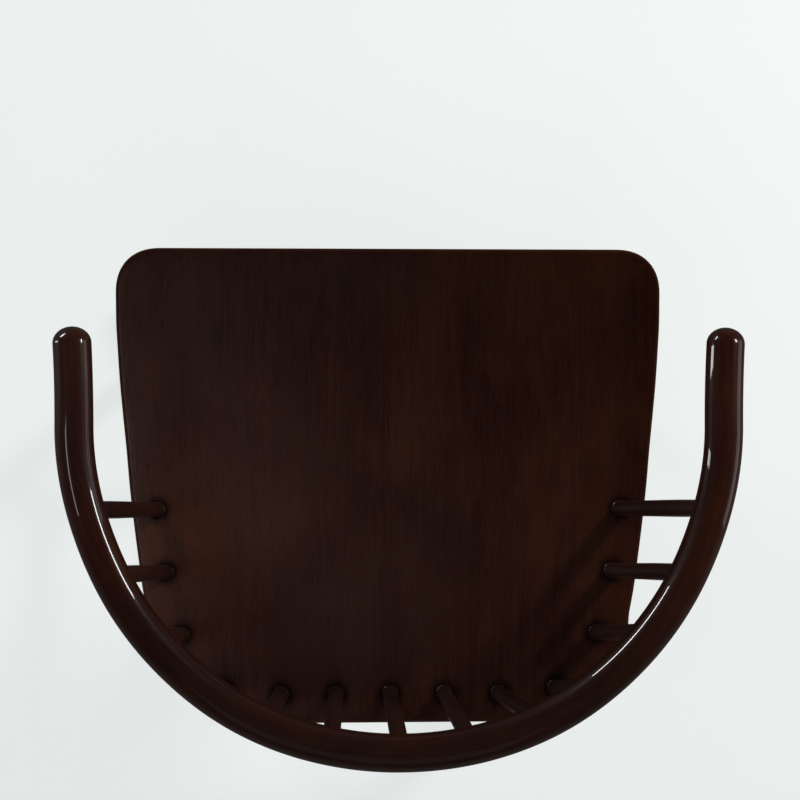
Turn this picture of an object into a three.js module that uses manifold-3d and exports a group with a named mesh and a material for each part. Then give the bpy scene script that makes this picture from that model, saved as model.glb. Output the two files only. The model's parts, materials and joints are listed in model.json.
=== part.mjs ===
// Low-back rocking chair in dark-stained hardwood.
//
// A flat solid seat panel carries thirteen round spindles. The spindles hold one bent horseshoe
// bow that is both the backrest and the two arms. Under the seat four turned legs stand in two
// curved rockers, tied together by four stretchers. Every joint is a blind round tenon in a
// drilled socket, and a small cross peg locks each leg in its rocker.
//
// Units are millimetres, +Z is up, the sitter faces -Y and +X is the sitter's left. The origin is
// at the middle of the bounding box, on the floor.

import * as THREE from 'three';
import { mergeVertices } from 'three/addons/utils/BufferGeometryUtils.js';
import Module from 'manifold-3d';

// ---------------------------------------------------------------- driving dimensions

const GAP = 0.3;                    // clearance between pieces that touch

// seat panel, drawn in its own frame: origin at the middle of the top face, +Y to the rear
const SEAT_HEIGHT = 415;            // floor to the middle of the seat's top face
const SEAT_PITCH = 3;               // degrees, rear edge lower
const SEAT_THICKNESS = 30;
const SEAT_FRONT = -243.6;
const SEAT_REAR = 243.8;
const SEAT_FRONT_CORNER = 46;       // reach of the squarish rounded corner
const SEAT_REAR_CORNER = 110.3;     // radius
const SEAT_EDGE_ROUND = 4.5;        // round-over of the top and bottom arrises
const SEAT_SIDE = [                 // [Y, half width] from the front corner to the rear corner
  [-197.6, 281], [-168, 280.5], [-140, 278.9], [-107, 276.6], [-72, 273.3],
  [-36, 269.6], [0, 266.4], [36, 262.3], [75, 257.2], [107, 252.7],
];

// horseshoe bow, in the seat's frame
const BOW_RISE = 235;               // seat top to the bow's centre line
const BOW_RADIUS = 296.6;           // plan radius of the rear half circle
const BOW_CENTRE_Y = -57.6;
const BOW_ARM_END_Y = -133;         // where each rounded arm end starts
const BOW_ARM_FLARE = 2.0;          // how much further out the arm ends stand
const BOW_TUBE = 17.5;              // section radius
const BOW_DOME = 15;                // how far each rounded arm end stands proud
const BOW_SIDES = 16;

// spindles: [half spacing at the seat, Y at the seat, angle of the top on the bow]
const SPINDLES = [
  ['side_front', 238.5, 24.8, 14.8],
  ['side_middle', 229.5, 88.8, 27.0],
  ['side_rear', 213.5, 152.5, 39.6],
  ['corner', 170.5, 208.5, 52.2],
  ['back_outer', 112, 214, 64.8],
  ['back_inner', 55.8, 214, 77.4],
  ['back_centre', 0, 214, 90],
];
const SPINDLE_SEAT_DEPTH = 20;
const SPINDLE_FOOT = 7.7;           // radii
const SPINDLE_BELLY = 8.3;
const SPINDLE_HEAD = 7.9;
const SPINDLE_TENON = 6;
const SPINDLE_SIDES = 12;

// legs, in the chair's frame: [half spacing, Y] at the seat's top plane and at the rocker
const FRONT_LEG_TOP = [198, -168];
const FRONT_LEG_FOOT = [216, -196];
const REAR_LEG_TOP = [182, 146];
const REAR_LEG_FOOT = [216, 158];
const LEG_HEAD = 13.5;              // radii
const LEG_BELLY = 17;
const LEG_ANKLE = 12.5;
const LEG_TOP_TENON = 11;
const LEG_TOP_TENON_DEPTH = 20;
const LEG_FOOT_TENON = 9;
const LEG_FOOT_TENON_DEPTH = 30;
const LEG_SIDES = 16;

// rockers
const ROCKER_SPACING = 216;         // half spacing of the centre planes
const ROCKER_WIDTH = 28;
const ROCKER_HEIGHT = 48;
const ROCKER_TIP_HEIGHT = 36;
const ROCKER_RADIUS = 900;
const ROCKER_REST_Y = 5.2;          // lowest point of the arc, below the centre of mass
const ROCKER_FLAT = 44;             // length of the flat that meets the floor at rest
const ROCKER_FRONT = -284;
const ROCKER_REAR = 236;

// stretchers: height of each end above the floor
const SIDE_STRETCHER_Z = [150, 140];
const FRONT_STRETCHER_Z = 205;
const REAR_STRETCHER_Z = 186;
const STRETCHER_END = 8;            // radii
const STRETCHER_BELLY = 11;
const STRETCHER_TENON = 6;
const STRETCHER_SIDES = 12;

const PEG_RADIUS = 4;
const PEG_DROP = 15;                // below the leg's shoulder

// ---------------------------------------------------------------- solids

const wasm = await Module();
wasm.setup();

function toSolid(geometry, matrix) {
  const g = geometry.clone();
  g.deleteAttribute('normal');
  g.deleteAttribute('uv');
  if (matrix) g.applyMatrix4(matrix);
  const merged = mergeVertices(g, 1e-4);
  const solid = new wasm.Manifold(new wasm.Mesh({
    numProp: 3,
    vertProperties: new Float32Array(merged.attributes.position.array),
    triVerts: new Uint32Array(merged.index.array),
  }));
  return solid;
}

function toGeometry(solid) {
  const mesh = solid.getMesh();
  const g = new THREE.BufferGeometry();
  g.setAttribute('position', new THREE.BufferAttribute(new Float32Array(mesh.vertProperties), 3));
  g.setIndex(new THREE.BufferAttribute(new Uint32Array(mesh.triVerts), 1));
  g.computeVertexNormals();
  return g;
}

// cuts a list of { geometry, matrix } out of a piece; matrices lead to one common frame
function cut(piece, cutters) {
  const back = piece.matrix.clone().invert();
  let solid = toSolid(piece.geometry);
  for (const c of cutters) {
    const tool = toSolid(c.geometry, back.clone().multiply(c.matrix));
    solid = solid.subtract(tool);
  }
  piece.geometry = toGeometry(solid);
}

// a frame whose +Y runs from one point to another, as a lathe's axis does
function along(from, to) {
  const dir = to.clone().sub(from).normalize();
  const side = Math.abs(dir.x) < 0.9 ? new THREE.Vector3(1, 0, 0) : new THREE.Vector3(0, 0, 1);
  const z = new THREE.Vector3().crossVectors(side, dir).normalize();
  const x = new THREE.Vector3().crossVectors(dir, z).normalize();
  return new THREE.Matrix4().makeBasis(x, dir, z).setPosition(from);
}

function lathe(profile, sides) {
  return new THREE.LatheGeometry(profile.map(([r, y]) => new THREE.Vector2(r, y)), sides);
}

// ---------------------------------------------------------------- materials

const wood = (color, roughness) => () => new THREE.MeshStandardMaterial({ color, roughness, metalness: 0 });
const seatWood = wood(0x22120e, 0.42);
const bowWood = wood(0x2c150e, 0.26);
const spindleWood = wood(0x26110c, 0.3);
const baseWood = wood(0x28140e, 0.34);
const pegWood = wood(0x1c0e0a, 0.45);

// ---------------------------------------------------------------- seat panel

const seatFrame = new THREE.Matrix4()
  .makeRotationX(THREE.MathUtils.degToRad(-SEAT_PITCH))
  .setPosition(0, 0, SEAT_HEIGHT);

function seatOutline() {
  const pts = [];
  const half = (list) => list.forEach(([x, y]) => pts.push(new THREE.Vector2(x, y)));
  const left = [];
  const fr = SEAT_FRONT_CORNER;
  const fx = SEAT_SIDE[0][1] - fr;
  const fy = SEAT_FRONT + fr;
  // a superellipse quarter, a little fuller than a circle
  const soft = (v) => Math.sign(v) * Math.abs(v) ** (2 / 2.3);
  for (let i = 0; i <= 6; i++) {
    const a = -Math.PI / 2 + (Math.PI / 2) * (i / 6);
    left.push([fx + fr * soft(Math.cos(a)), fy + fr * soft(Math.sin(a))]);
  }
  for (const [y, x] of SEAT_SIDE.slice(1)) left.push([x, y]);
  const rr = SEAT_REAR_CORNER;
  const rx = 137.2;
  const ry = SEAT_REAR - rr;
  for (let i = 0; i <= 7; i++) {
    const a = (Math.PI / 2) * (0.01 + 0.99 * (i / 7));
    left.push([rx + rr * Math.cos(a), ry + rr * Math.sin(a)]);
  }
  half(left);
  half(left.slice().reverse().map(([x, y]) => [-x, y]));
  return new THREE.Shape(pts);
}

function makeSeat() {
  const g = new THREE.ExtrudeGeometry(seatOutline(), {
    depth: SEAT_THICKNESS - 2 * SEAT_EDGE_ROUND,
    bevelEnabled: true,
    bevelThickness: SEAT_EDGE_ROUND,
    bevelSize: SEAT_EDGE_ROUND,
    bevelOffset: -SEAT_EDGE_ROUND,
    bevelSegments: 2,
    steps: 1,
  });
  g.translate(0, 0, -SEAT_THICKNESS + SEAT_EDGE_ROUND);
  return g;
}

// ---------------------------------------------------------------- horseshoe bow

function bowPoint(theta) {
  const deg = THREE.MathUtils.radToDeg(theta);
  const fold = deg > 90 ? 180 - deg : deg;
  const r = BOW_RADIUS
    + 1.5 * Math.exp(-(((fold - 62) / 17) ** 2))
    - 1.1 * Math.exp(-(((fold - 20) / 13) ** 2));
  return new THREE.Vector3(r * Math.cos(theta), BOW_CENTRE_Y + r * Math.sin(theta), BOW_RISE);
}

class BowCurve extends THREE.Curve {
  constructor() {
    super();
    this.arm = BOW_CENTRE_Y - BOW_ARM_END_Y;
    this.arc = Math.PI * BOW_RADIUS;
    this.total = this.arc + 2 * this.arm;
  }
  getPoint(t, target = new THREE.Vector3()) {
    const s = t * this.total;
    if (s < this.arm || s > this.total - this.arm) {
      const sign = s < this.arm ? 1 : -1;
      const k = (sign > 0 ? this.arm - s : s - this.total + this.arm) / this.arm;
      return target.set(
        sign * (bowPoint(0).x + BOW_ARM_FLARE * k * k),
        BOW_CENTRE_Y - this.arm * k,
        BOW_RISE,
      );
    }
    return target.copy(bowPoint((s - this.arm) / BOW_RADIUS));
  }
}

function makeBow() {
  const section = new THREE.Shape();
  for (let i = 0; i < BOW_SIDES; i++) {
    const a = (2 * Math.PI * (i + 0.5)) / BOW_SIDES;
    const x = BOW_TUBE * Math.cos(a);
    const y = BOW_TUBE * Math.sin(a);
    if (i === 0) section.moveTo(x, y);
    else section.lineTo(x, y);
  }
  section.closePath();
  const tube = new THREE.ExtrudeGeometry(section, {
    steps: 44,
    bevelEnabled: false,
    extrudePath: new BowCurve(),
  });
  let solid = toSolid(tube);
  for (const sign of [1, -1]) {
    const profile = [[0, -BOW_DOME]];
    for (let i = 1; i <= 5; i++) {
      const a = (Math.PI / 2) * (i / 5);
      profile.push([BOW_TUBE * Math.sin(a), -BOW_DOME * Math.cos(a)]);
    }
    profile.push([BOW_TUBE * 0.97, 3], [0, 3]);
    const cap = lathe(profile, BOW_SIDES);
    const m = new THREE.Matrix4().setPosition(sign * (bowPoint(0).x + BOW_ARM_FLARE), BOW_ARM_END_Y, BOW_RISE);
    solid = solid.add(toSolid(cap, m));
  }
  return toGeometry(solid);
}

// ---------------------------------------------------------------- turned pieces

// clear widens the piece and lengthens it at both ends, which makes the cutter for its sockets
function spindleGeometry(length, clear) {
  const c = clear;
  const shoulder = length - 13;
  return lathe([
    [0, -SPINDLE_SEAT_DEPTH - c],
    [SPINDLE_FOOT + c, -SPINDLE_SEAT_DEPTH - c],
    [SPINDLE_FOOT + c, 2],
    [SPINDLE_BELLY - 0.4 + c, length * 0.4],
    [SPINDLE_BELLY + c, length * 0.66],
    [SPINDLE_HEAD + c, shoulder + c],
    [SPINDLE_TENON + c, shoulder + c],
    [SPINDLE_TENON + c, length + 3 + c],
    [0, length + 3 + c],
  ], SPINDLE_SIDES);
}

function legGeometry(length, clear) {
  const c = clear;
  return lathe([
    [0, -LEG_FOOT_TENON_DEPTH - c],
    [LEG_FOOT_TENON + c, -LEG_FOOT_TENON_DEPTH - c],
    [LEG_FOOT_TENON + c, -c],
    [LEG_ANKLE + c, -c],
    [LEG_ANKLE + 2.8 + c, length * 0.3],
    [LEG_BELLY + c, length * 0.6],
    [LEG_BELLY - 0.7 + c, length * 0.78],
    [LEG_HEAD + 0.3 + c, length - 8],
    [LEG_HEAD + c, length + c],
    [LEG_TOP_TENON + c, length + c],
    [LEG_TOP_TENON + c, length + LEG_TOP_TENON_DEPTH + c],
    [0, length + LEG_TOP_TENON_DEPTH + c],
  ], LEG_SIDES);
}

// the ends stop short of the leg's axis; inset is how far inside the leg's axis each end lies
function stretcherGeometry(length, clear) {
  const c = clear;
  return lathe([
    [0, 3 - c],
    [STRETCHER_TENON + c, 3 - c],
    [STRETCHER_TENON + c, 11.5 - c],
    [STRETCHER_END + c, 11.5 - c],
    [STRETCHER_END + 0.8 + c, 45],
    [STRETCHER_BELLY + c, length * 0.5],
    [STRETCHER_END + 0.8 + c, length - 45],
    [STRETCHER_END + c, length - 11.5 + c],
    [STRETCHER_TENON + c, length - 11.5 + c],
    [STRETCHER_TENON + c, length - 3 + c],
    [0, length - 3 + c],
  ], STRETCHER_SIDES);
}

function pegGeometry(length, clear) {
  const c = clear;
  return lathe([
    [0, -c * 10],
    [PEG_RADIUS - 0.4 + c, -c * 10],
    [PEG_RADIUS + c, 0.4],
    [PEG_RADIUS + c, length - 0.4],
    [PEG_RADIUS - 0.4 + c, length + c * 10],
    [0, length + c * 10],
  ], 12);
}

// ---------------------------------------------------------------- rockers

function rockerArc(y, radius) {
  return radius - Math.sqrt(radius * radius - (y - ROCKER_REST_Y) ** 2);
}

function rockerBottom(y) {
  // the arc is lowered by the flat's own rise, so the flat lies on the floor
  return Math.max(0, rockerArc(y, ROCKER_RADIUS) - rockerArc(ROCKER_REST_Y + ROCKER_FLAT / 2, ROCKER_RADIUS));
}

function rockerTop(y) {
  const end = y < ROCKER_REST_Y ? ROCKER_FRONT : ROCKER_REAR;
  const k = Math.abs((y - ROCKER_REST_Y) / (end - ROCKER_REST_Y));
  return rockerBottom(y) + ROCKER_HEIGHT - (ROCKER_HEIGHT - ROCKER_TIP_HEIGHT) * k ** 2.2;
}

function makeRocker() {
  const r = ROCKER_TIP_HEIGHT / 2;
  const ends = [ROCKER_FRONT + r, ROCKER_REAR - r];
  const bottom = [];
  const top = [];
  const flat = [ROCKER_REST_Y - ROCKER_FLAT / 2, ROCKER_REST_Y + ROCKER_FLAT / 2];
  for (let i = 0; i <= 12; i++) bottom.push(ends[0] + (flat[0] - ends[0]) * (i / 12));
  for (let i = 0; i <= 9; i++) bottom.push(flat[1] + (ends[1] - flat[1]) * (i / 9));
  for (let i = 0; i <= 18; i++) top.push(ends[0] + (ends[1] - ends[0]) * (i / 18));
  const pts = bottom.map((y) => [y, rockerBottom(y)]);
  // rounded rear tip, square to the arc
  const tip = (y0, sign) => {
    const lo = [y0, rockerBottom(y0)];
    const hi = [y0, rockerTop(y0)];
    const slope = Math.atan2(y0 - ROCKER_REST_Y, ROCKER_RADIUS);
    const out = [];
    for (let i = 1; i < 6; i++) {
      const a = (Math.PI * i) / 6;
      const mid = [(lo[0] + hi[0]) / 2, (lo[1] + hi[1]) / 2];
      const h = (hi[1] - lo[1]) / 2;
      const u = Math.sin(a) * h * sign;
      const w = -Math.cos(a) * h;
      out.push([mid[0] + u * Math.cos(slope), mid[1] + w + u * Math.sin(slope)]);
    }
    return out;
  };
  pts.push(...tip(ends[1], 1));
  top.reverse().forEach((y) => pts.push([y, rockerTop(y)]));
  pts.push(...tip(ends[0], -1).reverse());
  const shape = new THREE.Shape(pts.map(([y, z]) => new THREE.Vector2(y, z)));
  const g = new THREE.ExtrudeGeometry(shape, { depth: ROCKER_WIDTH, bevelEnabled: false, steps: 1 });
  // the drawing plane becomes YZ and the thickness runs along X, centred
  g.applyMatrix4(new THREE.Matrix4().set(
    0, 0, 1, -ROCKER_WIDTH / 2,
    1, 0, 0, 0,
    0, 1, 0, 0,
    0, 0, 0, 1,
  ));
  return g;
}

// ---------------------------------------------------------------- assembly

const pieces = [];                  // { name, geometry, matrix (to the chair's frame), material }
const add = (name, geometry, matrix, material) => {
  const p = { name, geometry, matrix, material };
  pieces.push(p);
  return p;
};

const seat = add('seat_panel', makeSeat(), seatFrame, seatWood);
const bow = add('arm_bow', makeBow(), seatFrame, bowWood);

const seatCutters = [];
const bowCutters = [];
for (const [place, x, y, angle] of SPINDLES) {
  const sides = x === 0 ? [['', 1]] : [['_left', 1], ['_right', -1]];
  for (const [suffix, sign] of sides) {
    const top = bowPoint(THREE.MathUtils.degToRad(angle));
    const a = new THREE.Vector3(sign * x, y, 0);
    const b = new THREE.Vector3(sign * top.x, top.y, top.z);
    if (x === 0) b.x = 0;
    const m = seatFrame.clone().multiply(along(a, b));
    const length = a.distanceTo(b);
    add(`spindle_${place}${suffix}`, spindleGeometry(length, 0), m, spindleWood);
    const cutter = { geometry: spindleGeometry(length, GAP), matrix: m };
    seatCutters.push(cutter);
    bowCutters.push(cutter);
  }
}

// the point on the seat's underside, in the chair's frame, that lies under a plan position
function underside(x, y) {
  const p = THREE.MathUtils.degToRad(SEAT_PITCH);
  const z = SEAT_HEIGHT - Math.tan(p) * y - SEAT_THICKNESS / Math.cos(p);
  return new THREE.Vector3(x, y, z);
}

const rockerCutters = { left: [], right: [] };
const legs = {};
const rockers = {};
for (const [side, sign] of [['left', 1], ['right', -1]]) {
  rockers[side] = add(`rocker_${side}`, makeRocker(),
    new THREE.Matrix4().setPosition(sign * ROCKER_SPACING, 0, 0), baseWood);
  for (const [row, top, foot] of [['front', FRONT_LEG_TOP, FRONT_LEG_FOOT], ['rear', REAR_LEG_TOP, REAR_LEG_FOOT]]) {
    // the shoulder sits 1.5 mm below the rocker's upper edge and 0.8 mm below the seat's underside
    const a = new THREE.Vector3(sign * foot[0], foot[1], rockerTop(foot[1]) - 1.5);
    const b = underside(sign * top[0], top[1]);
    const dir = b.clone().sub(a).normalize();
    const length = a.distanceTo(b) - 1.4;
    const m = along(a, b);
    const leg = add(`leg_${row}_${side}`, legGeometry(length, 0), m, baseWood);
    leg.foot = a;
    leg.head = b;
    leg.dir = dir;
    legs[`${row}_${side}`] = leg;
    const cutter = { geometry: legGeometry(length, GAP), matrix: m };
    seatCutters.push(cutter);
    rockerCutters[side].push(cutter);
  }
}

const at = (leg, z) => leg.foot.clone().addScaledVector(leg.dir, (z - leg.foot.z) / leg.dir.z);
const legCutters = new Map(Object.values(legs).map((leg) => [leg, []]));
function stretcher(name, legA, zA, legB, zB) {
  const a = at(legA, zA);
  const b = at(legB, zB);
  const m = along(a, b);
  const length = a.distanceTo(b);
  add(name, stretcherGeometry(length, 0), m, baseWood);
  const cutter = { geometry: stretcherGeometry(length, GAP), matrix: m };
  legCutters.get(legA).push(cutter);
  legCutters.get(legB).push(cutter);
}
stretcher('stretcher_left', legs.front_left, SIDE_STRETCHER_Z[0], legs.rear_left, SIDE_STRETCHER_Z[1]);
stretcher('stretcher_right', legs.front_right, SIDE_STRETCHER_Z[0], legs.rear_right, SIDE_STRETCHER_Z[1]);
stretcher('stretcher_front', legs.front_left, FRONT_STRETCHER_Z, legs.front_right, FRONT_STRETCHER_Z);
stretcher('stretcher_rear', legs.rear_left, REAR_STRETCHER_Z, legs.rear_right, REAR_STRETCHER_Z);

for (const side of ['left', 'right']) {
  for (const row of ['front', 'rear']) {
    const leg = legs[`${row}_${side}`];
    const c = leg.foot.clone().addScaledVector(leg.dir, -PEG_DROP);
    const x0 = rockers[side].matrix.elements[12] - ROCKER_WIDTH / 2 + 0.2;
    const a = new THREE.Vector3(x0, c.y, c.z);
    const b = new THREE.Vector3(x0 + ROCKER_WIDTH - 0.4, c.y, c.z);
    const m = along(a, b);
    const length = ROCKER_WIDTH - 0.4;
    add(`peg_${row}_${side}`, pegGeometry(length, 0), m, pegWood);
    const cutter = { geometry: pegGeometry(length, GAP), matrix: m };
    rockerCutters[side].push(cutter);
    legCutters.get(leg).push(cutter);
  }
}

cut(seat, seatCutters);
cut(bow, bowCutters);
for (const side of ['left', 'right']) cut(rockers[side], rockerCutters[side]);
for (const [leg, cutters] of legCutters) cut(leg, cutters);

// ---------------------------------------------------------------- scene graph

const chair = new THREE.Group();
const upper = new THREE.Group();
const lower = new THREE.Group();
upper.applyMatrix4(seatFrame);
chair.add(upper, lower);
for (const p of pieces) {
  const mesh = new THREE.Mesh(p.geometry, p.material());
  mesh.name = p.name;
  const inUpper = p.name === 'seat_panel' || p.name === 'arm_bow' || p.name.startsWith('spindle_');
  const local = inUpper ? seatFrame.clone().invert().multiply(p.matrix) : p.matrix;
  local.decompose(mesh.position, mesh.quaternion, mesh.scale);
  mesh.scale.set(1, 1, 1);
  (inUpper ? upper : lower).add(mesh);
}

// the origin goes to the middle of the bounding box, on the floor
chair.updateMatrixWorld(true);
const box = new THREE.Box3().setFromObject(chair, true);
const centre = box.getCenter(new THREE.Vector3());
chair.position.set(-centre.x, -centre.y, -box.min.z);
chair.updateMatrixWorld(true);

export default chair;
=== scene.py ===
"""Looks for the low-back rocking chair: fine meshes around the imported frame, dark walnut lacquer, a pale floor, soft light."""
import json
import math
import random

import bmesh
import bpy
import numpy as np
from mathutils import Matrix, Vector, geometry, noise

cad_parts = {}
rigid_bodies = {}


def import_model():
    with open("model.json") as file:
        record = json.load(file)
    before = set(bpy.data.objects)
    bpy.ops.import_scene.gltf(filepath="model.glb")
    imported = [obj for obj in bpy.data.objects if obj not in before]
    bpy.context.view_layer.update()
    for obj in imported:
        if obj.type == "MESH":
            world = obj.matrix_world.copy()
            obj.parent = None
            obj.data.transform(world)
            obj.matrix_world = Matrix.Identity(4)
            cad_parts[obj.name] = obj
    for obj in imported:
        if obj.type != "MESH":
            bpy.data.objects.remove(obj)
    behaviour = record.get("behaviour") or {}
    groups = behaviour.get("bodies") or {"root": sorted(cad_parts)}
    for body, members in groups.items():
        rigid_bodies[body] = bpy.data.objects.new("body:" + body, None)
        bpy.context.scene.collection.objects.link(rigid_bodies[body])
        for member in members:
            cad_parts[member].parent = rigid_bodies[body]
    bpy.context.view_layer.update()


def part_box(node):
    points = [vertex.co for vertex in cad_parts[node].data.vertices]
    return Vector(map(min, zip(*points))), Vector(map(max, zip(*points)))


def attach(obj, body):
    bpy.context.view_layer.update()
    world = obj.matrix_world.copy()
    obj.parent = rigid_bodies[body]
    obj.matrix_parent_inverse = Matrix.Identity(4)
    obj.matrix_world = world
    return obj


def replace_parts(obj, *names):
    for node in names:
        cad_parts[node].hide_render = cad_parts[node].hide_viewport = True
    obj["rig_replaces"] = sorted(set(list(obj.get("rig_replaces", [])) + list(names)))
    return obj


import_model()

scene = bpy.context.scene
rng = random.Random(41)
MM = 0.001

# ------------------------------------------------------------------ the design's own numbers, in mm

SEAT_HEIGHT = 415.0
SEAT_PITCH = 3.0
SEAT_THICKNESS = 30.0
SEAT_FRONT, SEAT_REAR = -243.6, 243.8
SEAT_FRONT_CORNER, SEAT_REAR_CORNER = 46.0, 110.3
SEAT_EDGE_ROUND = 4.5
SEAT_SIDE = [(-197.6, 281.0), (-168, 280.5), (-140, 278.9), (-107, 276.6), (-72, 273.3),
             (-36, 269.6), (0, 266.4), (36, 262.3), (75, 257.2), (107, 252.7)]

BOW_RISE, BOW_RADIUS, BOW_CENTRE_Y = 235.0, 296.6, -57.6
BOW_ARM_END_Y, BOW_ARM_FLARE, BOW_TUBE, BOW_DOME = -133.0, 2.0, 17.5, 15.0

SPINDLES = [("side_front", 238.5, 24.8, 14.8), ("side_middle", 229.5, 88.8, 27.0),
            ("side_rear", 213.5, 152.5, 39.6), ("corner", 170.5, 208.5, 52.2),
            ("back_outer", 112.0, 214.0, 64.8), ("back_inner", 55.8, 214.0, 77.4),
            ("back_centre", 0.0, 214.0, 90.0)]
SPINDLE_SEAT_DEPTH = 20.0
SPINDLE_FOOT, SPINDLE_BELLY, SPINDLE_HEAD, SPINDLE_TENON = 7.7, 8.3, 7.9, 6.0

FRONT_LEG_TOP, FRONT_LEG_FOOT = (198.0, -168.0), (216.0, -196.0)
REAR_LEG_TOP, REAR_LEG_FOOT = (182.0, 146.0), (216.0, 158.0)
LEG_HEAD, LEG_BELLY, LEG_ANKLE = 13.5, 17.0, 12.5
LEG_TOP_TENON, LEG_TOP_TENON_DEPTH = 11.0, 20.0
LEG_FOOT_TENON, LEG_FOOT_TENON_DEPTH = 9.0, 30.0

ROCKER_SPACING, ROCKER_WIDTH = 216.0, 28.0
ROCKER_HEIGHT, ROCKER_TIP_HEIGHT = 48.0, 36.0
ROCKER_RADIUS, ROCKER_REST_Y, ROCKER_FLAT = 900.0, 5.2, 44.0
ROCKER_FRONT, ROCKER_REAR = -284.0, 236.0

SIDE_STRETCHER_Z, FRONT_STRETCHER_Z, REAR_STRETCHER_Z = (150.0, 140.0), 205.0, 186.0
STRETCHER_END, STRETCHER_BELLY, STRETCHER_TENON = 8.0, 11.0, 6.0
PEG_RADIUS, PEG_DROP = 4.0, 15.0


# ------------------------------------------------------------------ where things are

def rocker_arc(y, r):
    return r - math.sqrt(r * r - (y - ROCKER_REST_Y) ** 2)


def rocker_bottom(y):
    return max(0.0, rocker_arc(y, ROCKER_RADIUS) - rocker_arc(ROCKER_REST_Y + ROCKER_FLAT / 2, ROCKER_RADIUS))


def rocker_top(y):
    end = ROCKER_FRONT if y < ROCKER_REST_Y else ROCKER_REAR
    k = abs((y - ROCKER_REST_Y) / (end - ROCKER_REST_Y))
    return rocker_bottom(y) + ROCKER_HEIGHT - (ROCKER_HEIGHT - ROCKER_TIP_HEIGHT) * k ** 2.2


def underside(x, y):
    p = math.radians(SEAT_PITCH)
    return Vector((x, y, SEAT_HEIGHT - math.tan(p) * y - SEAT_THICKNESS / math.cos(p)))


def leg_ends(top, foot, sign):
    a = Vector((sign * foot[0], foot[1], rocker_top(foot[1]) - 1.5))
    b = underside(sign * top[0], top[1])
    return a, b


LEGS = {}
for side, sign in (("left", 1), ("right", -1)):
    LEGS["front_" + side] = leg_ends(FRONT_LEG_TOP, FRONT_LEG_FOOT, sign)
    LEGS["rear_" + side] = leg_ends(REAR_LEG_TOP, REAR_LEG_FOOT, sign)

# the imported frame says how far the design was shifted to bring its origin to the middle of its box
_a, _b = LEGS["front_left"]
_lo, _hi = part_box("peg_front_left")
SHIFT = Vector((0, (_lo.y + _hi.y) / 2 / MM - (_a - (_b - _a).normalized() * PEG_DROP).y, 0))

CHAIR = Matrix.Translation(SHIFT * MM)
SEAT = Matrix.Translation((SHIFT + Vector((0, 0, SEAT_HEIGHT))) * MM) @ Matrix.Rotation(-math.radians(SEAT_PITCH), 4, "X")


def bow_radius(deg):
    fold = 180 - deg if deg > 90 else deg
    return (BOW_RADIUS + 1.5 * math.exp(-(((fold - 62) / 17) ** 2))
            - 1.1 * math.exp(-(((fold - 20) / 13) ** 2)))


def bow_point(deg):
    r, t = bow_radius(deg), math.radians(deg)
    return Vector((r * math.cos(t), BOW_CENTRE_Y + r * math.sin(t), BOW_RISE))


def along(a, b):
    """A frame with its origin at a and +Z towards b."""
    z = (b - a).normalized()
    x = Vector((1, 0, 0)) if abs(z.x) < 0.9 else Vector((0, 0, 1))
    y = z.cross(x).normalized()
    x = y.cross(z).normalized()
    m = Matrix((x, y, z)).transposed().to_4x4()
    m.translation = a
    return m


def in_metres(m):
    m = m.copy()
    m.translation = m.translation * MM
    return m


# ------------------------------------------------------------------ mesh helpers

def smooth_curve(points, n):
    """Monotone smooth interpolation of (s, value) pairs, sampled at n places."""
    s = np.array([p[0] for p in points], float)
    v = np.array([p[1] for p in points], float)
    d = np.diff(v) / np.diff(s)
    m = np.zeros(len(s))
    m[1:-1] = np.where(d[:-1] * d[1:] > 0, 2 * d[:-1] * d[1:] / (d[:-1] + d[1:] + 1e-12), 0)
    m[0], m[-1] = d[0], d[-1]
    t = np.linspace(s[0], s[-1], n)
    i = np.clip(np.searchsorted(s, t) - 1, 0, len(s) - 2)
    h = s[i + 1] - s[i]
    u = (t - s[i]) / h
    return list(zip(t, (2 * u**3 - 3 * u**2 + 1) * v[i] + (u**3 - 2 * u**2 + u) * h * m[i]
                    + (-2 * u**3 + 3 * u**2) * v[i + 1] + (u**3 - u**2) * h * m[i + 1]))


def make_object(name, verts, faces, matrix, grain, edge=None, pool=None, tint=None, cool=None, shade=None, crease=32):
    """verts and grain are in mm, in the piece's own frame. grain's last part runs along the fibres."""
    me = bpy.data.meshes.new(name)
    me.from_pydata([tuple(c * MM for c in v) for v in verts], [], faces)
    me.validate(verbose=False)
    a = me.attributes.new("grain", "FLOAT_VECTOR", "POINT")
    a.data.foreach_set("vector", (np.array(grain, np.float32) * MM).ravel())
    for key, values in (("edge", edge), ("pool", pool), ("tint", tint), ("cool", cool), ("shade", shade)):
        w = me.attributes.new(key, "FLOAT", "POINT")
        w.data.foreach_set("value", np.array(values if values is not None else np.zeros(len(verts)), np.float32))
    bm = bmesh.new()
    bm.from_mesh(me)
    bmesh.ops.recalc_face_normals(bm, faces=bm.faces)
    limit = math.radians(crease)
    for f in bm.faces:
        f.smooth = True
    for e in bm.edges:
        e.smooth = not (len(e.link_faces) == 2 and e.calc_face_angle(0) > limit)
    bm.to_mesh(me)
    bm.free()
    ob = bpy.data.objects.new(name, me)
    scene.collection.objects.link(ob)
    ob.matrix_world = matrix
    return ob


def rings_to_faces(count, sides, first, last):
    """Quads between consecutive rings, with a fan to the pole vertices first and last."""
    faces = []
    for i in range(count - 1):
        for j in range(sides):
            k = (j + 1) % sides
            faces.append((i * sides + j, i * sides + k, (i + 1) * sides + k, (i + 1) * sides + j))
    for j in range(sides):
        k = (j + 1) % sides
        faces.append((first, k, j))
        faces.append((last, (count - 1) * sides + j, (count - 1) * sides + k))
    return faces


def fibre_offset():
    """Every piece is cut from its own place in the tree."""
    return Vector((rng.uniform(-900, 900), rng.uniform(-900, 900), rng.uniform(-3000, 3000)))


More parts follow.
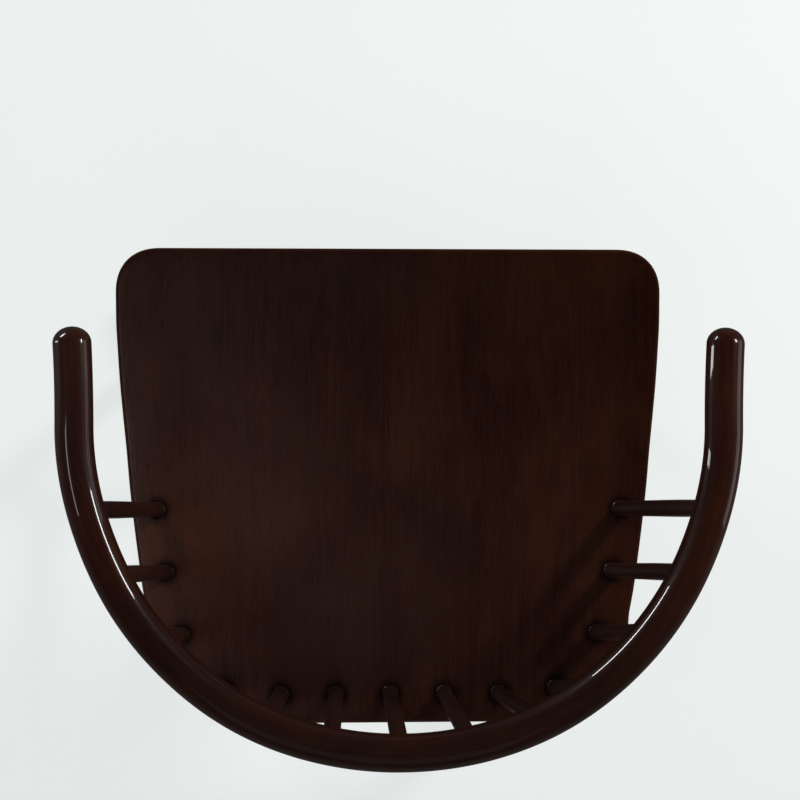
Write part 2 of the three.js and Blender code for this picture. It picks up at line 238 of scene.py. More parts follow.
def lathe(name, profile, matrix, sides=56, wobble=0.0, slide=None, edge=None, crease=32):
    """A turned piece round its own Z axis. profile is (z, radius) from low to high.
    slide(x, y, z) gives a shift along the axis, for an end that is scribed to a sloping face."""
    off, seed = fibre_offset(), rng.uniform(0, 50)
    turn = rng.uniform(0, 2 * math.pi)
    verts, grain, edges = [], [], []
    for z, r in profile:
        for j in range(sides):
            a = 2 * math.pi * j / sides
            rr = r
            if wobble:
                rr += wobble * noise.noise(Vector((math.cos(a) * 0.7 + seed, math.sin(a) * 0.7, z / 45)))
            x, y = rr * math.cos(a), rr * math.sin(a)
            zz = z + (slide(x, y, z) if slide else 0)
            verts.append((x, y, zz))
            gx = x * math.cos(turn) - y * math.sin(turn)
            gy = x * math.sin(turn) + y * math.cos(turn)
            grain.append((gx + off.x, gy + off.y, z + off.z))
            edges.append(edge(z) if edge else 0.0)
    n = len(profile)
    for z in (profile[0][0], profile[-1][0]):
        verts.append((0, 0, z + (slide(0, 0, z) if slide else 0)))
        grain.append((off.x, off.y, z + off.z))
        edges.append(0.0)
    return make_object(name, verts, rings_to_faces(n, sides, n * sides, n * sides + 1), matrix, grain, edges, crease=crease)


def offset_loop(loop, d):
    """Moves a counter-clockwise loop of 2D points inwards by d."""
    p = np.array(loop, float)
    t = np.roll(p, -1, 0) - np.roll(p, 1, 0)
    t /= np.linalg.norm(t, axis=1)[:, None]
    n = np.stack([-t[:, 1], t[:, 0]], 1)
    return p + n * d


def inside(loop, pts):
    """Which points lie in a closed 2D loop."""
    x, y = pts[:, 0][:, None], pts[:, 1][:, None]
    a, b = np.array(loop, float), np.roll(np.array(loop, float), -1, 0)
    ax, ay, bx, by = a[:, 0], a[:, 1], b[:, 0], b[:, 1]
    cross = ((ay > y) != (by > y)) & (x < (bx - ax) * (y - ay) / np.where(by == ay, 1e-9, by - ay) + ax)
    return cross.sum(1) % 2 == 1


def edge_distance(loop, pts):
    p = np.array(loop, float)
    out = np.full(len(pts), 1e9)
    for i in range(0, len(pts), 2000):
        d = np.linalg.norm(pts[i:i + 2000, None, :] - p[None], axis=2)
        out[i:i + 2000] = d.min(1)
    return out


def slab(name, loop, thick, rnd, holes, matrix, to_grain, cell=7.0, edge_gain=1.0, relief=0.0, tint=None, cool=None, shade=None):
    """A flat board with rounded arrises. loop is a dense counter-clockwise outline in mm; the top face is at z 0.
    holes are (centre, direction out of the face, radius, depth, face) with face +1 on top and -1 below."""
    verts, faces, edges, painted_socket_shades = [], [], [], []
    n = len(loop)

    def push(v, e=0.0, p=0.0):
        verts.append(tuple(v))
        edges.append(e)
        painted_socket_shades.append(p)
        return len(verts) - 1

    steps = 7
    prof = []
    for i in range(steps + 1):
        a = math.pi / 2 * i / steps
        prof.append((rnd * (1 - math.sin(a)), -rnd * (1 - math.cos(a)), math.sin(2 * a)))
    prof += [(o, -thick - z, e) for o, z, e in reversed(prof)]
    rows = []
    for o, z, e in prof:
        ring = offset_loop(loop, o)
        rows.append([push((x, y, z), e * edge_gain) for x, y in ring])
    for r0, r1 in zip(rows, rows[1:]):
        for j in range(n):
            k = (j + 1) % n
            faces.append((r0[j], r0[k], r1[k], r1[j]))

    for face, row, z0 in ((1, rows[0], 0.0), (-1, rows[-1], -thick)):
        rim = np.array([verts[i][:2] for i in row])
        pts2 = [Vector((x, y)) for x, y in rim]
        ids = list(row)
        cons = [(i, (i + 1) % n) for i in range(n)]
        keep_out = []
        for centre, out, radius, depth, side in holes:
            if side != face:
                continue
            c, d = Vector(centre), Vector(out).normalized()
            u = d.orthogonal().normalized()
            v = d.cross(u)
            m = 28

            def rim_of(r, drop):
                pts = []
                for i in range(m):
                    a = 2 * math.pi * i / m
                    w = (u * math.cos(a) + v * math.sin(a)) * r
                    p = c + w - d * (w.z / d.z)
                    pts.append(p - d * drop)
                if (pts[1] - pts[0]).cross(pts[2] - pts[1]).z * face < 0:
                    pts.reverse()
                return pts

            start = len(pts2)
            loops = []
            for r, drop in ((radius + 0.55, 0.0), (radius + 0.1, 0.5), (radius, depth)):
                # the socket rims and walls carry full painted contact shade
                loops.append([push(p, 0, 1.0) for p in rim_of(r, drop)])
            for i, p in zip(loops[0], rim_of(radius + 0.55, 0.0)):
                pts2.append(Vector((p.x, p.y)))
                ids.append(i)
            cons += [(start + i, start + (i + 1) % m) for i in range(m)]
            for l0, l1 in zip(loops, loops[1:]):
                for j in range(m):
                    k = (j + 1) % m
                    faces.append((l0[j], l0[k], l1[k], l1[j]))
            faces.append(tuple(loops[-1]))
            keep_out.append((np.array([c.x, c.y]), radius + 0.55, [pts2[start + i] for i in range(m)]))
        lo, hi = rim.min(0), rim.max(0)
        gx = np.arange(lo[0] + cell / 2, hi[0], cell)
        gy = np.arange(lo[1] + cell / 2, hi[1], cell)
        grid = np.array([(x + (cell / 2 if j % 2 else 0), y) for j, y in enumerate(gy) for x in gx])
        if len(grid):
            ok = inside(rim, grid) & (edge_distance(rim, grid) > cell * 0.55)
            for c, r, _ in keep_out:
                ok &= np.linalg.norm(grid - c, axis=1) > r + 2.0
            grid = grid[ok]
            extra = []
            for c, r, _ in keep_out:
                for k, q in enumerate((2.0, 4.5, 8.0)):
                    for i in range(28):
                        a = 2 * math.pi * (i + 0.5 * (k % 2)) / 28
                        extra.append(c + (r + q) * np.array([math.cos(a), math.sin(a)]))
            if extra:
                extra = np.array(extra)
                extra = extra[inside(rim, extra) & (edge_distance(rim, extra) > 1.2)]
                near = np.array([np.linalg.norm(extra - g, axis=1).min() for g in grid])
                grid = np.vstack([grid[near > 2.2], extra])
            for x, y in grid:
                pts2.append(Vector((x, y)))
                ids.append(None)
        got = geometry.delaunay_2d_cdt(pts2, cons, [], 0, 1e-5, True)
        vs, tris, orig = got[0], got[2], got[3]
        out_of = {o: i for i, src in enumerate(orig) for o in src}
        walls = {frozenset((out_of[a], out_of[b])) for a, b in cons}
        # fill from the free points outwards, never over the rim or into a socket
        by_edge = {}
        for k, t in enumerate(tris):
            for a, b in zip(t, list(t[1:]) + [t[0]]):
                by_edge.setdefault(frozenset((a, b)), []).append(k)
        queue = [k for k, t in enumerate(tris) if all(all(ids[o] is None for o in orig[i]) for i in t)]
        kept = set(queue)
        while queue:
            t = tris[queue.pop()]
            for a, b in zip(t, list(t[1:]) + [t[0]]):
                e = frozenset((a, b))
                if e in walls:
                    continue
                for k in by_edge[e]:
                    if k not in kept:
                        kept.add(k)
                        queue.append(k)
        made = {}
        for k in sorted(kept):
            t = tris[k]
            tri = []
            for i in t:
                if i not in made:
                    src = [o for o in orig[i] if ids[o] is not None]
                    if src:
                        made[i] = ids[src[0]]
                    else:
                        x, y = vs[i].x, vs[i].y
                        z = z0
                        if relief and face > 0:
                            d = edge_distance(rim, np.array([[x, y]]))[0]
                            dh = min([float(np.linalg.norm(np.array([x, y]) - c)) - r for c, r, _ in keep_out] or [99])
                            z += relief * min(1, d / 40) * min(1, max(0, dh) / 12) * noise.noise(Vector((x / 85, y / 210, 3.7)))
                        # painted contact shade: darker near each socket, fading out over a few mm
                        p = 0.0
                        for c, r, _ in keep_out:
                            q = max(0.0, float(np.linalg.norm(np.array([x, y]) - c)) - r)
                            p = max(p, math.exp(-((q / 5.5) ** 2)))
                        made[i] = push((x, y, z), 0, p)
                tri.append(made[i])
            faces.append(tuple(tri))
    grain = [to_grain(v) for v in verts]
    tints = [tint(v) for v in verts] if tint else None
    painted_sheens = [cool(v) for v in verts] if cool else None
    shades = [shade(v) for v in verts] if shade else None
    return make_object(name, verts, faces, matrix, grain, edges, painted_socket_shades, tints, painted_sheens, shades, crease=50)


# ------------------------------------------------------------------ wood

PAINTED_SHEEN_GREY = (0.0210, 0.0105, 0.0092)


def wood(name, dark, mid, light, warm, rough, spec, coat, coat_rough, boards=None, seed=0.0, bump=0.25, pores=1.0):
    """Stained open-grain hardwood under lacquer. The fibres run along the last part of the grain attribute."""
    mat = bpy.data.materials.new(name)
    mat.use_nodes = True
    nt = mat.node_tree
    nt.nodes.clear()
    new = nt.nodes.new
    link = nt.links.new
    out = new("ShaderNodeOutputMaterial")
    bsdf = new("ShaderNodeBsdfPrincipled")
    link(bsdf.outputs[0], out.inputs[0])
    at = new("ShaderNodeAttribute")
    at.attribute_name = "grain"
    edge = new("ShaderNodeAttribute")
    edge.attribute_name = "edge"
    pool = new("ShaderNodeAttribute")
    pool.attribute_name = "pool"

    def math_node(op, a, b=None, c=None, clamp=False):
        m = new("ShaderNodeMath")
        m.operation = op
        m.use_clamp = clamp
        for i, v in enumerate((a, b, c)):
            if v is None:
                continue
            if hasattr(v, "is_linked") or hasattr(v, "links"):
                link(v, m.inputs[i])
            else:
                m.inputs[i].default_value = v
        return m.outputs[0]

    def scaled(scale, vector=None):
        m = new("ShaderNodeVectorMath")
        m.operation = "MULTIPLY"
        link(vector or at.outputs["Vector"], m.inputs[0])
        m.inputs[1].default_value = scale
        return m.outputs[0]

    def noise_of(scale, detail=3, rough_=0.55, distort=0.0, vector=None):
        t = new("ShaderNodeTexNoise")
        t.inputs["Scale"].default_value = 1.0
        t.inputs["Detail"].default_value = detail
        t.inputs["Roughness"].default_value = rough_
        t.inputs["Distortion"].default_value = distort
        link(scaled(scale, vector), t.inputs["Vector"])
        return t.outputs["Fac"]

    def ramp(fac, stops, mode="LINEAR"):
        r = new("ShaderNodeValToRGB")
        r.color_ramp.interpolation = mode
        els = r.color_ramp.elements
        while len(els) < len(stops):
            els.new(0.5)
        for e, (p, c) in zip(els, stops):
            e.position = p
            e.color = (*c, 1) if len(c) == 3 else c
        link(fac, r.inputs[0])
        return r.outputs[0]

    def grey(fac, stops):
        return ramp(fac, [(p, (v, v, v)) for p, v in stops])

    def mix(fac, a, b, kind="MIX"):
        m = new("ShaderNodeMix")
        m.data_type = "RGBA"
        m.blend_type = kind
        for i, v in ((0, fac), (6, a), (7, b)):
            if hasattr(v, "is_linked"):
                link(v, m.inputs[i])
            else:
                m.inputs[i].default_value = v if i == 0 else (*v, 1)
        return m.outputs[2]

    # slow drift of the fibres, so that nothing runs dead straight
    sway = new("ShaderNodeTexNoise")
    sway.inputs["Scale"].default_value = 1.0
    sway.inputs["Detail"].default_value = 2
    link(scaled((7, 7, 2.2)), sway.inputs["Vector"])
    centred = new("ShaderNodeVectorMath")
    centred.operation = "SUBTRACT"
    link(sway.outputs["Color"], centred.inputs[0])
    centred.inputs[1].default_value = (0.5, 0.5, 0.5)
    push = new("ShaderNodeVectorMath")
    push.operation = "MULTIPLY"
    link(centred.outputs[0], push.inputs[0])
    push.inputs[1].default_value = (0.022, 0.022, 0.0)
    bent = new("ShaderNodeVectorMath")
    bent.operation = "ADD"
    link(at.outputs["Vector"], bent.inputs[0])
    link(push.outputs[0], bent.inputs[1])
    V = bent.outputs[0]

    tone = noise_of((13, 13, 8), 3, 0.55, vector=V)             # broad, mottled take-up of the stain
    rings = noise_of((90, 90, 3.2), 3, 0.6, vector=V)           # growth bands
    streak = noise_of((330, 330, 17), 3, 0.6, vector=V)         # fibre streaks
    fleck = noise_of((640, 640, 42), 2, 0.6, vector=V)          # short dashes of open pore
    pore = noise_of((1250, 1250, 75), 2, 0.5, vector=V)         # single pores

    f1 = grey(tone, [(0.32, 0.0), (0.68, 1.0)])
    f2 = grey(rings, [(0.34, 0.0), (0.66, 1.0)])
    f3 = grey(streak, [(0.33, 0.0), (0.67, 1.0)])
    f4 = grey(fleck, [(0.34, 0.0), (0.66, 1.0)])
    f = math_node("MULTIPLY_ADD", f1, 0.38, 0.0)
    f = math_node("MULTIPLY_ADD", f2, 0.16, f)
    f = math_node("MULTIPLY_ADD", f3, 0.22, f)
    f = math_node("MULTIPLY_ADD", f4, 0.24, f, clamp=True)
    base = ramp(f, [(0.0, dark), (0.5, mid), (1.0, light)])

    if boards:
        # boards glued side by side: each its own shade, with a thin line where they meet
        sep = new("ShaderNodeSeparateXYZ")
        link(at.outputs["Vector"], sep.inputs[0])
        x = sep.outputs["X"]
        shades = [(p, (v, v, v)) for p, v in boards["shades"]]
        span = boards["span"]
        pos = math_node("MULTIPLY_ADD", x, 1 / (2 * span), 0.5, clamp=True)
        shade = ramp(pos, shades, "CONSTANT")
        base = mix(1.0, base, shade, "MULTIPLY")
        for joint in boards["joints"]:
            d = math_node("ABSOLUTE", math_node("SUBTRACT", x, joint))
            line = math_node("SUBTRACT", 1.0, math_node("DIVIDE", d, 0.0006), clamp=True)
            line = math_node("MULTIPLY", line, 0.55)
            base = mix(line, base, dark)

    warm_f = grey(noise_of((17, 17, 11), 3, 0.6, vector=V), [(0.46, 0.0), (0.70, 1.0)])
    base = mix(math_node("MULTIPLY", warm_f, 0.42), base, warm)
    tint = new("ShaderNodeAttribute")
    tint.attribute_name = "tint"
    base = mix(math_node("MULTIPLY", tint.outputs["Fac"], 0.62, clamp=True), base, warm)
    # painted sheen: the colour is veiled towards grey where this attribute is set
    cool = new("ShaderNodeAttribute")
    cool.attribute_name = "cool"
    painted_sheen_veil = math_node("MULTIPLY_ADD", grey(noise_of((19, 19, 12), 3, 0.6, vector=V), [(0.3, 0.0), (0.7, 1.0)]), 0.5, 0.35)
    base = mix(math_node("MULTIPLY", cool.outputs["Fac"], painted_sheen_veil, clamp=True), base, PAINTED_SHEEN_GREY)
    # painted shade: the base colour is multiplied by one plus the shade attribute, darker where it is negative
    depth = new("ShaderNodeAttribute")
    depth.attribute_name = "shade"
    base = mix(1.0, base, math_node("ADD", depth.outputs["Fac"], 1.0), "MULTIPLY")
    # stain rubbed thin on the arrises
    rub = math_node("MULTIPLY", edge.outputs["Fac"], grey(noise_of((60, 60, 14), 3, 0.6), [(0.35, 0.15), (0.7, 0.6)]))
    base = mix(rub, base, warm)
    # painted contact shade: the colour is darkened round the sockets
    base = mix(math_node("MULTIPLY", pool.outputs["Fac"], 0.92), base, tuple(c * 0.3 for c in dark))
    dots = grey(pore, [(0.60, 0.0), (0.68, 1.0)])
    base = mix(math_node("MULTIPLY", dots, 0.6 * pores), base, tuple(c * 0.4 for c in dark))
    link(base, bsdf.inputs["Base Color"])

    r = grey(streak, [(0.3, max(0.02, rough - 0.05)), (0.7, rough + 0.06)])
    smudge = grey(noise_of((14, 14, 9), 3, 0.6), [(0.4, 0.0), (0.75, 1.0)])
    r = math_node("MULTIPLY_ADD", smudge, 0.05, r)
    r = math_node("MULTIPLY_ADD", dots, 0.16, r, clamp=True)
    link(r, bsdf.inputs["Roughness"])
    bsdf.inputs["Specular IOR Level"].default_value = spec
    bsdf.inputs["Coat Weight"].default_value = coat
    bsdf.inputs["Coat Roughness"].default_value = coat_rough
    bsdf.inputs["Coat IOR"].default_value = 1.5

    h = math_node("MULTIPLY", dots, -1.0 * pores)
    h = math_node("MULTIPLY_ADD", f3, 0.40, h)
    h = math_node("MULTIPLY_ADD", f4, 0.45, h)
    b = new("ShaderNodeBump")
    b.inputs["Strength"].default_value = bump
    b.inputs["Distance"].default_value = 0.0003
    link(h, b.inputs["Height"])
    link(b.outputs[0], bsdf.inputs["Normal"])
    return mat


WOOD_DARK = (0.0088, 0.0019, 0.0012)
WOOD_MID = (0.0228, 0.0053, 0.0029)
WOOD_LIGHT = (0.0420, 0.0112, 0.0052)
WOOD_WARM = (0.0480, 0.0142, 0.0045)

# the glue lines, in the seat's own frame: the sitter's left is +X
JOINTS = [-0.198, -0.112, -0.022, 0.064, 0.140, 0.212]
_span = 0.30
_cuts = [-_span] + JOINTS
_tone = [0.96, 1.04, 0.94, 1.05, 0.97, 1.08, 1.0]


def scaled_colour(c, k):
    return tuple(v * k for v in c)


seat_wood = wood("seat_wood", WOOD_DARK, WOOD_MID, WOOD_LIGHT, WOOD_WARM, rough=0.33, spec=0.30, coat=0.12, coat_rough=0.20,
                 boards={"span": _span, "joints": JOINTS,
                         "shades": [((c + _span) / (2 * _span), t) for c, t in zip(_cuts, _tone)]},
                 bump=0.30)
bow_wood = wood("bow_wood", scaled_colour(WOOD_DARK, 1.1), scaled_colour(WOOD_MID, 1.1), scaled_colour(WOOD_LIGHT, 1.1),
                WOOD_WARM, rough=0.30, spec=0.12, coat=1.0, coat_rough=0.035, bump=0.06, pores=0.5)
spindle_wood = wood("spindle_wood", (0.0085, 0.0030, 0.0022), (0.0208, 0.0078, 0.0060), (0.0385, 0.0150, 0.0108), (0.0430, 0.0168, 0.0090), rough=0.30, spec=0.35, coat=0.6, coat_rough=0.12,
                    bump=0.14, pores=0.7)
base_wood = wood("base_wood", scaled_colour(WOOD_DARK, 1.1), scaled_colour(WOOD_MID, 1.1), scaled_colour(WOOD_LIGHT, 1.1), WOOD_WARM,
                 rough=0.32, spec=0.38, coat=0.6, coat_rough=0.12, bump=0.2, pores=0.9)
peg_wood = wood("peg_wood", scaled_colour(WOOD_DARK, 0.6), scaled_colour(WOOD_MID, 0.7), scaled_colour(WOOD_LIGHT, 0.8), WOOD_WARM,
                rough=0.42, spec=0.38, coat=0.3, coat_rough=0.25, bump=0.3, pores=1.2)


def place(ob, node, mat):
    ob.data.materials.append(mat)
    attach(ob, "root")
    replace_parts(ob, node)
    return ob


# ------------------------------------------------------------------ seat panel

def seat_loop():
    """Dense counter-clockwise outline of the seat."""
    pts = []
    fr = SEAT_FRONT_CORNER
    fx, fy = SEAT_SIDE[0][1] - fr, SEAT_FRONT + fr
    soft = lambda v: math.copysign(abs(v) ** (2 / 2.3), v)
    left = []
    for i in range(41):
        a = -math.pi / 2 + math.pi / 2 * i / 40
        left.append((fx + fr * soft(math.cos(a)), fy + fr * soft(math.sin(a))))
    side = smooth_curve(SEAT_SIDE + [(135.0, 247.4)], 60)
    left += [(x, y) for y, x in side[1:-1]]
    rr = SEAT_REAR_CORNER
    rx, ry = 137.2, SEAT_REAR - rr
    for i in range(41):
        a = math.pi / 2 * (0.01 + 0.99 * i / 40)
        left.append((rx + rr * math.cos(a), ry + rr * math.sin(a)))
    pts = left + [(-x, y) for x, y in reversed(left)]
    # even spacing
    p = np.array(pts + [pts[0]])
    d = np.r_[0, np.cumsum(np.linalg.norm(np.diff(p, axis=0), axis=1))]
    s = np.linspace(0, d[-1], 421)[:-1]
    return list(zip(np.interp(s, d, p[:, 0]), np.interp(s, d, p[:, 1])))


holes = []
SPINDLE_AXES = []
for place_name, x, y, deg in SPINDLES:
    for suffix, sign in ([("", 1)] if x == 0 else [("_left", 1), ("_right", -1)]):
        top = bow_point(deg)
        a = Vector((sign * x, y, 0))
        b = Vector((0 if x == 0 else sign * top.x, top.y, top.z))
        SPINDLE_AXES.append((f"spindle_{place_name}{suffix}", a, b))
        holes.append((a, b - a, SPINDLE_FOOT + 0.2, SPINDLE_SEAT_DEPTH + 0.3, 1))
to_seat = SEAT.inverted() @ CHAIR
for key, (foot, head) in LEGS.items():
    h = (to_seat @ (head * MM)) / MM
    g = (to_seat @ (foot * MM)) / MM
    d = (g - h).normalized()
    h = h + d * ((-SEAT_THICKNESS - h.z) / d.z)
    holes.append((h, d, LEG_TOP_TENON + 0.2, LEG_TOP_TENON_DEPTH + 0.3, -1))

# where the stain sits thinner and the wood shows browner through it: centre, reach, strength
THIN_STAIN = [((215, 75), (60, 75), 0.75), ((150, 20), (80, 60), 0.35), ((228, -215), (60, 30), 0.30), ((-205, -60), (60, 120), 0.35),
              ((-150, -215), (110, 30), 0.45), ((-30, 60), (70, 110), 0.18), ((-238, 110), (30, 60), 0.6), ((100, 150), (60, 50), 0.25)]


# painted sheen: patches where the colour is veiled towards grey, standing in for the sheen of a soft light on the
# lacquer
PAINTED_SHEEN_PATCHES = [((210, -100), (110, 170), 0.75), ((60, 150), (120, 90), 0.75), ((40, -215), (110, 35), 0.45), ((90, -30), (60, 60), 0.35),
             ((-40, 40), (50, 60), 0.35)]


def patches(v, spots):
    return max(0.0, sum(k * math.exp(-((v[0] - c[0]) / r[0]) ** 2 - ((v[1] - c[1]) / r[1]) ** 2) for c, r, k in spots))


def seat_tint(v):
    return patches(v, THIN_STAIN)


def seat_painted_sheen(v):
    return patches(v, PAINTED_SHEEN_PATCHES)


# the colour is darkest along the front edge on the sitter's right, and lighter towards the rear and, in the front half,
# towards the sitter's left: partly stain tone, partly painted shade
def seat_painted_shade(v):
    def rise(x, lo, hi):
        k = min(1.0, max(0.0, (x - lo) / (hi - lo)))
        return k * k * (3 - 2 * k)
    return -0.38 + 0.34 * rise(v[1], -200, 140) + 0.52 * rise(v[0], 10, 230) * rise(v[1], -280, -20)


seat = slab("seat_panel_fine", seat_loop(), SEAT_THICKNESS, SEAT_EDGE_ROUND, holes, SEAT,
            lambda v: (v[0], v[2], v[1]), cell=8.0, relief=0.35, tint=seat_tint, cool=seat_painted_sheen, shade=seat_painted_shade)
place(seat, "seat_panel", seat_wood)


# ------------------------------------------------------------------ horseshoe bow

def bow_mesh():
    arm = BOW_CENTRE_Y - BOW_ARM_END_Y
    path = []
    n_arm, n_arc = 22, 230
    x0 = bow_point(0).x
    for i in range(n_arm):
        k = 1 - i / n_arm
        path.append(Vector((x0 + BOW_ARM_FLARE * k * k, BOW_CENTRE_Y - arm * k, BOW_RISE)))
    for i in range(n_arc + 1):
        path.append(bow_point(180 * i / n_arc))
    for i in range(1, n_arm + 1):
        k = i / n_arm
        path.append(Vector((-(x0 + BOW_ARM_FLARE * k * k), BOW_CENTRE_Y - arm * k, BOW_RISE)))
    sides = 56
    p = np.array(path)
    t = np.gradient(p, axis=0)
    t /= np.linalg.norm(t, axis=1)[:, None]
    s = np.r_[0, np.cumsum(np.linalg.norm(np.diff(p, axis=0), axis=1))]
    off = fibre_offset()
    verts, grain = [], []

    def ring(c, tan, r, arc):
        nrm = Vector((tan[1], -tan[0], 0))        # outwards in plan
        for j in range(sides):
            a = 2 * math.pi * j / sides
            rr = r * (1 + 0.0075 * noise.noise(Vector((arc / 70, math.cos(a) * 0.8, math.sin(a) * 0.8 + 9))))
            q = Vector(c) + nrm * (rr * math.cos(a)) + Vector((0, 0, rr * math.sin(a)))
            verts.append(q)
            grain.append((rr * math.cos(a) + off.x, rr * math.sin(a) + off.y, arc + off.z))

    caps = 16
    for i in range(1, caps):
        a = math.pi / 2 * i / caps
        ring(p[0] - t[0] * BOW_DOME * math.cos(a), t[0], BOW_TUBE * math.sin(a), s[0] - BOW_DOME * math.cos(a))
    for c, tan, arc in zip(p, t, s):
        ring(c, tan, BOW_TUBE, arc)
    for i in range(caps - 1, 0, -1):
        a = math.pi / 2 * i / caps
        ring(p[-1] + t[-1] * BOW_DOME * math.cos(a), t[-1], BOW_TUBE * math.sin(a), s[-1] + BOW_DOME * math.cos(a))
    n = len(verts) // sides
    for c, tan, sg in ((p[0], t[0], -1), (p[-1], t[-1], 1)):
        q = Vector(c) + Vector(tan) * BOW_DOME * sg
        verts.append(q)
        grain.append((off.x, off.y, (s[0] if sg < 0 else s[-1]) + sg * BOW_DOME + off.z))
    # painted shade darkens the rear of the bow, and painted sheen veils the rear and the front of the sitter's left arm
    # towards grey
    back = [min(1.0, max(0.0, (v[1] - 40) / 150)) for v in verts]
    left = [min(1.0, max(0.0, (v[0] - 60) / 180)) * min(1.0, max(0.0, (60 - v[1]) / 120)) for v in verts]
    return make_object("arm_bow_fine", verts, rings_to_faces(n, sides, n * sides, n * sides + 1), SEAT, grain,
                       cool=[0.55 * b + 0.4 * q for b, q in zip(back, left)], shade=[-0.30 * b for b in back])


place(bow_mesh(), "arm_bow", bow_wood)

# ------------------------------------------------------------------ spindles

for name, a, b in SPINDLE_AXES:
    m = along(a, b)
    length = (b - a).length
    normal = m.to_3x3().transposed() @ Vector((0, 0, 1))   # the seat's normal in the spindle's own frame

    def slide(x, y, z, normal=normal):
        k = max(0.0, min(1.0, 1 - z / 22)) if z >= -0.01 else max(0.0, 1 + z / 6)
        return -(normal.x * x + normal.y * y) / normal.z * k

    body = smooth_curve([(3.0, SPINDLE_FOOT + 0.02), (length * 0.18, SPINDLE_FOOT + 0.25), (length * 0.4, SPINDLE_BELLY - 0.4 + 0.15),
                         (length * 0.66, SPINDLE_BELLY), (length - 16, SPINDLE_HEAD)], 44)
    prof = [(-SPINDLE_SEAT_DEPTH, SPINDLE_FOOT - 1.2), (-SPINDLE_SEAT_DEPTH + 1.2, SPINDLE_FOOT), (-0.6, SPINDLE_FOOT)]
    prof += [(0.0, SPINDLE_FOOT + 0.75), (0.25, SPINDLE_FOOT + 0.5), (0.6, SPINDLE_FOOT + 0.28), (1.2, SPINDLE_FOOT + 0.1)]
    prof += body
    prof += [(length - 13, SPINDLE_HEAD), (length - 12.8, SPINDLE_TENON), (length + 1.5, SPINDLE_TENON), (length + 3, SPINDLE_TENON - 1)]
    ob = lathe(name + "_fine", prof, SEAT @ in_metres(m), sides=44, wobble=0.09, slide=slide)
    place(ob, name, spindle_wood)

# ------------------------------------------------------------------ legs

for key, (foot, head) in LEGS.items():
    m = along(foot, head)
    length = (head - foot).length - 0.25
    p = math.radians(SEAT_PITCH)
    normal = m.to_3x3().transposed() @ Vector((0, math.sin(p), math.cos(p)))

    def slide(x, y, z, normal=normal, length=length):
        k = max(0.0, min(1.0, 1 - (length - z) / 40))
        if z > length + 1:
            k = 0.0
        return -(normal.x * x + normal.y * y) / normal.z * k

    body = smooth_curve([(0.0, LEG_ANKLE), (length * 0.12, LEG_ANKLE + 0.95), (length * 0.3, LEG_ANKLE + 2.8), (length * 0.6, LEG_BELLY),
                         (length * 0.78, LEG_BELLY - 0.7), (length - 8, LEG_HEAD + 0.3), (length - 1.0, LEG_HEAD + 0.05)], 64)
    prof = [(-LEG_FOOT_TENON_DEPTH, LEG_FOOT_TENON - 1.2), (-LEG_FOOT_TENON_DEPTH + 1.2, LEG_FOOT_TENON), (-0.2, LEG_FOOT_TENON)]
    prof += body
    prof += [(length - 0.3, LEG_HEAD - 0.25), (length, LEG_HEAD - 0.8), (length, LEG_TOP_TENON),
             (length + LEG_TOP_TENON_DEPTH - 1.2, LEG_TOP_TENON), (length + LEG_TOP_TENON_DEPTH, LEG_TOP_TENON - 1.2)]
    ob = lathe(f"leg_{key}_fine", prof, CHAIR @ in_metres(m), sides=60, wobble=0.12, slide=slide)
    place(ob, f"leg_{key}", base_wood)

# ------------------------------------------------------------------ stretchers


def on_leg(key, z):
    foot, head = LEGS[key]
    d = (head - foot).normalized()
    return foot + d * ((z - foot.z) / d.z)


for name, ka, za, kb, zb in (
    ("stretcher_left", "front_left", SIDE_STRETCHER_Z[0], "rear_left", SIDE_STRETCHER_Z[1]),
    ("stretcher_right", "front_right", SIDE_STRETCHER_Z[0], "rear_right", SIDE_STRETCHER_Z[1]),
    ("stretcher_front", "front_left", FRONT_STRETCHER_Z, "front_right", FRONT_STRETCHER_Z),
    ("stretcher_rear", "rear_left", REAR_STRETCHER_Z, "rear_right", REAR_STRETCHER_Z),
):
    a, b = on_leg(ka, za), on_leg(kb, zb)
    length = (b - a).length
    body = smooth_curve([(11.5, STRETCHER_END), (45, STRETCHER_END + 0.8), (length * 0.5, STRETCHER_BELLY),
                         (length - 45, STRETCHER_END + 0.8), (length - 11.5, STRETCHER_END)], 60)
    prof = [(3, STRETCHER_TENON - 1), (4, STRETCHER_TENON), (11.4, STRETCHER_TENON)] + body
    prof += [(length - 11.4, STRETCHER_TENON), (length - 4, STRETCHER_TENON), (length - 3, STRETCHER_TENON - 1)]
    ob = lathe(name + "_fine", prof, CHAIR @ in_metres(along(a, b)), sides=44, wobble=0.09)
    place(ob, name, base_wood)

# ------------------------------------------------------------------ rockers and pegs


def rocker_loop():
    r = ROCKER_TIP_HEIGHT / 2
    ends = (ROCKER_FRONT + r, ROCKER_REAR - r)
    flat = (ROCKER_REST_Y - ROCKER_FLAT / 2, ROCKER_REST_Y + ROCKER_FLAT / 2)
    bottom = list(np.linspace(ends[0], flat[0], 60)) + list(np.linspace(flat[1], ends[1], 46))
    pts = [(y, rocker_bottom(y)) for y in bottom]

    def tip(y0, sign):
        lo, hi = rocker_bottom(y0), rocker_top(y0)
        slope = math.atan2(y0 - ROCKER_REST_Y, ROCKER_RADIUS)
        out = []
        for i in range(1, 26):
            a = math.pi * i / 26
            h = (hi - lo) / 2
            u, w = math.sin(a) * h * sign, -math.cos(a) * h
            out.append((y0 + u * math.cos(slope), (lo + hi) / 2 + w + u * math.sin(slope)))
        return out

    pts += tip(ends[1], 1)
    pts += [(y, rocker_top(y)) for y in np.linspace(ends[1], ends[0], 110)]
    pts += list(reversed(tip(ends[0], -1)))
    p = np.array(pts + [pts[0]])
    d = np.r_[0, np.cumsum(np.linalg.norm(np.diff(p, axis=0), axis=1))]
    s = np.linspace(0, d[-1], 361)[:-1]
    return list(zip(np.interp(s, d, p[:, 0]), np.interp(s, d, p[:, 1])))


